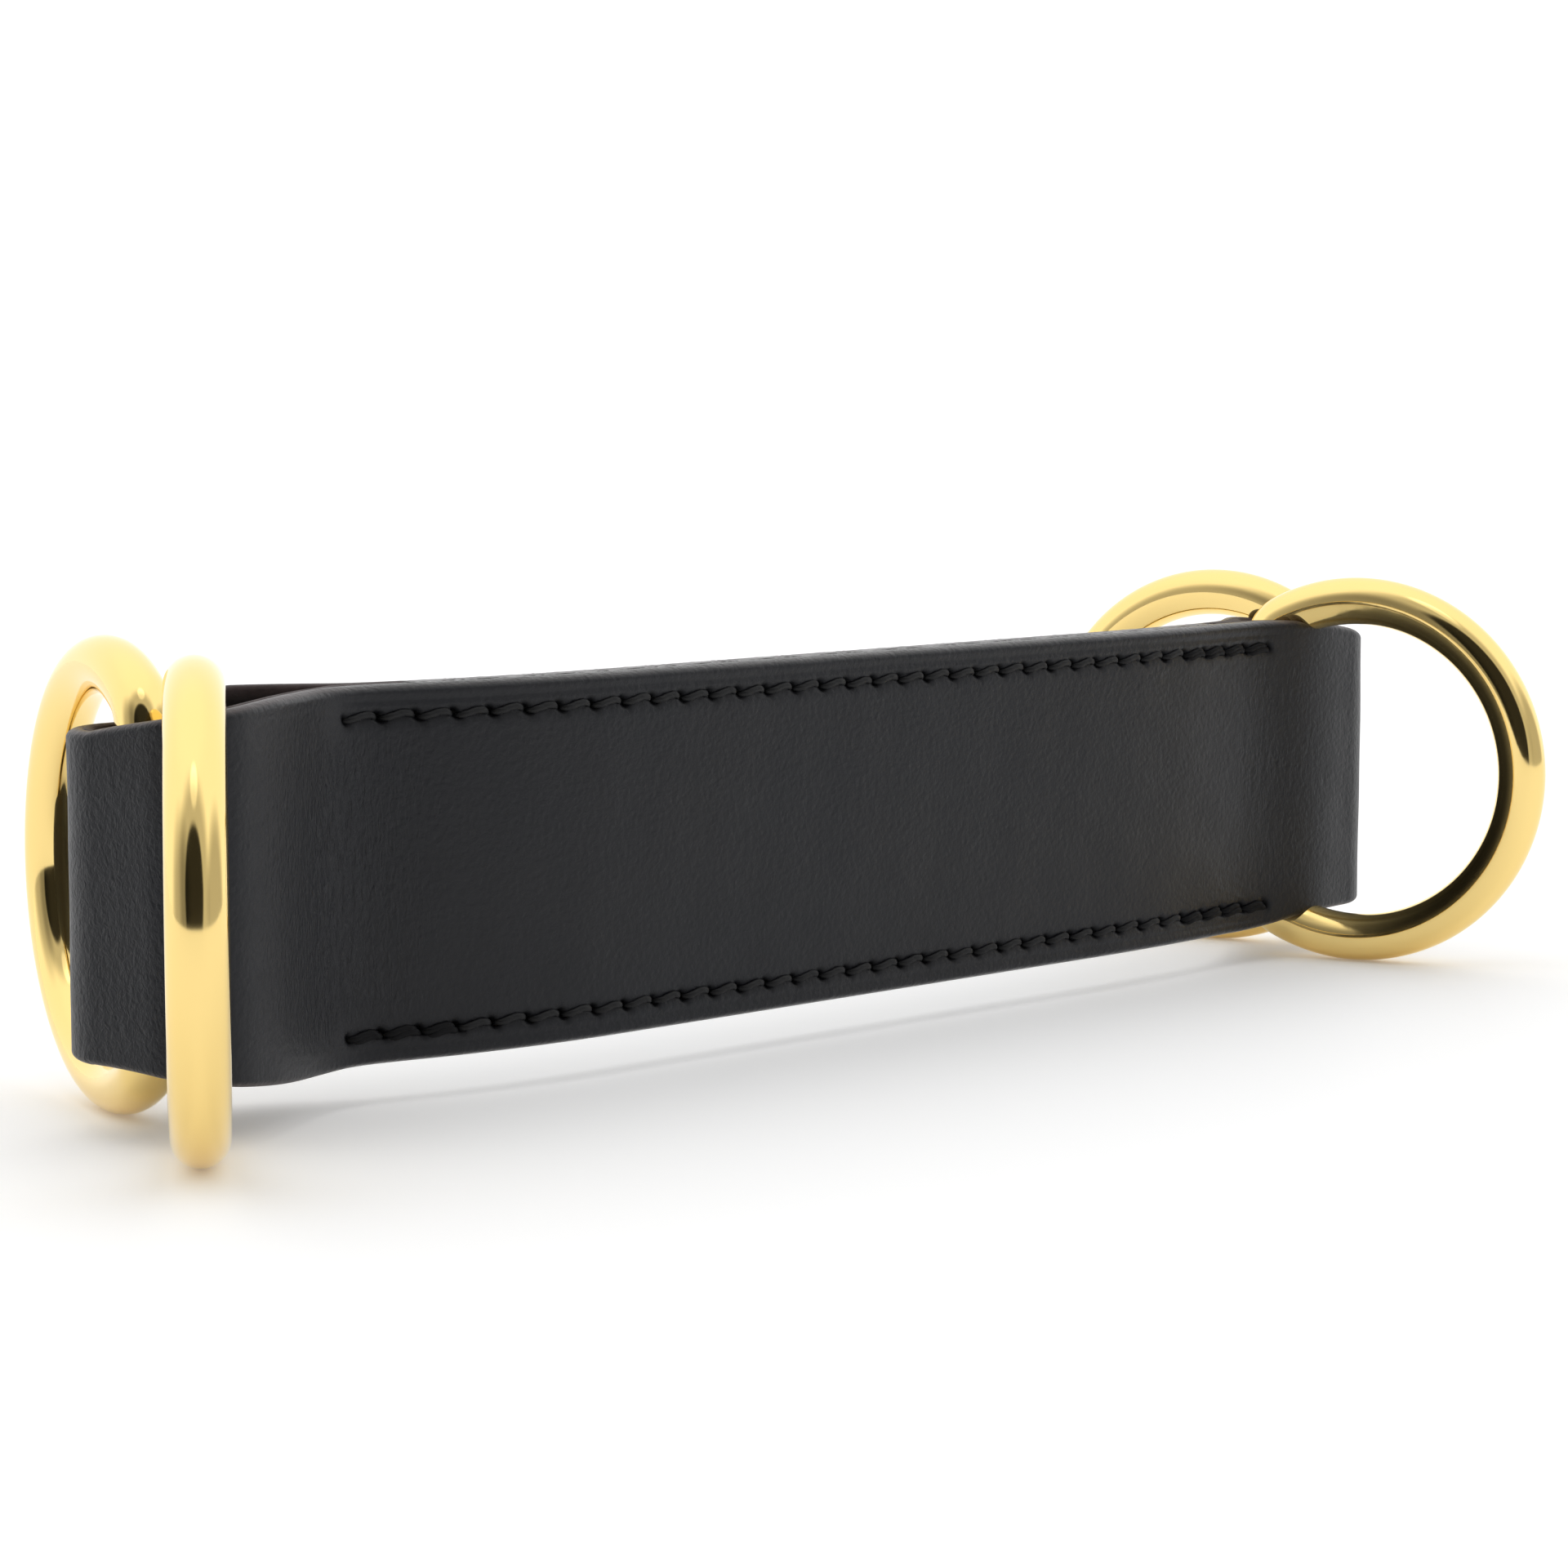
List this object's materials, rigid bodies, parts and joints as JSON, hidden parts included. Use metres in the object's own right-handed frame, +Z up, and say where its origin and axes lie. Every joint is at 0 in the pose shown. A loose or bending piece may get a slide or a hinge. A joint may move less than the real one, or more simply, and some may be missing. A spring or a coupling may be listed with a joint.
{
  "type": "wristlet keychain strap",
  "caption": "Short leather grip strap with an open loop at each end, each loop carrying a pair of swinging polished D-rings for keys or a bag.",
  "frame": {"origin": "centre of the object's box at rest, on the surface that it stands on", "axes": "+X along the strap, from the loop that is nearer to the viewer to the further one; +Z up across the strap's width; +Y towards the side that both ends bend to"},
  "size_m": [0.144, 0.049, 0.033],
  "materials": {
    "leather": "smooth black box calf, satin",
    "lining": "brown-black lining leather, matt",
    "filler": "burnished leather edge",
    "thread": "waxed black thread",
    "ring_metal": "mirror-polished pale gold plating"
  },
  "bodies": {
    "strap": {"strap_band": "leather", "left_lining": "lining", "right_lining": "lining", "filler_strip": "filler", "upper_stitches": "thread", "lower_stitches": "thread"},
    "front_left_d_ring": {"front_left_ring": "ring_metal"},
    "rear_left_d_ring": {"rear_left_ring": "ring_metal"},
    "front_right_d_ring": {"front_right_ring": "ring_metal"},
    "rear_right_d_ring": {"rear_right_ring": "ring_metal"}
  },
  "joints": [
    {"name": "front_left_swing", "type": "hinge", "parent": "strap", "child": "front_left_d_ring", "pos_m": [-0.05637, -0.00364, 0.0165], "axis": [0, 0, 1], "range_deg": [-65, 20]},
    {"name": "rear_left_swing", "type": "hinge", "parent": "strap", "child": "rear_left_d_ring", "pos_m": [-0.05697, 0.00106, 0.0165], "axis": [0, 0, 1], "range_deg": [-5, 90]},
    {"name": "front_right_swing", "type": "hinge", "parent": "strap", "child": "front_right_d_ring", "pos_m": [0.06073, -0.00094, 0.0165], "axis": [0, 0, 1], "range_deg": [-10, 40]},
    {"name": "rear_right_swing", "type": "hinge", "parent": "strap", "child": "rear_right_d_ring", "pos_m": [0.06683, 0.00026, 0.0165], "axis": [0, 0, 1], "range_deg": [-105, 8]}
  ]
}
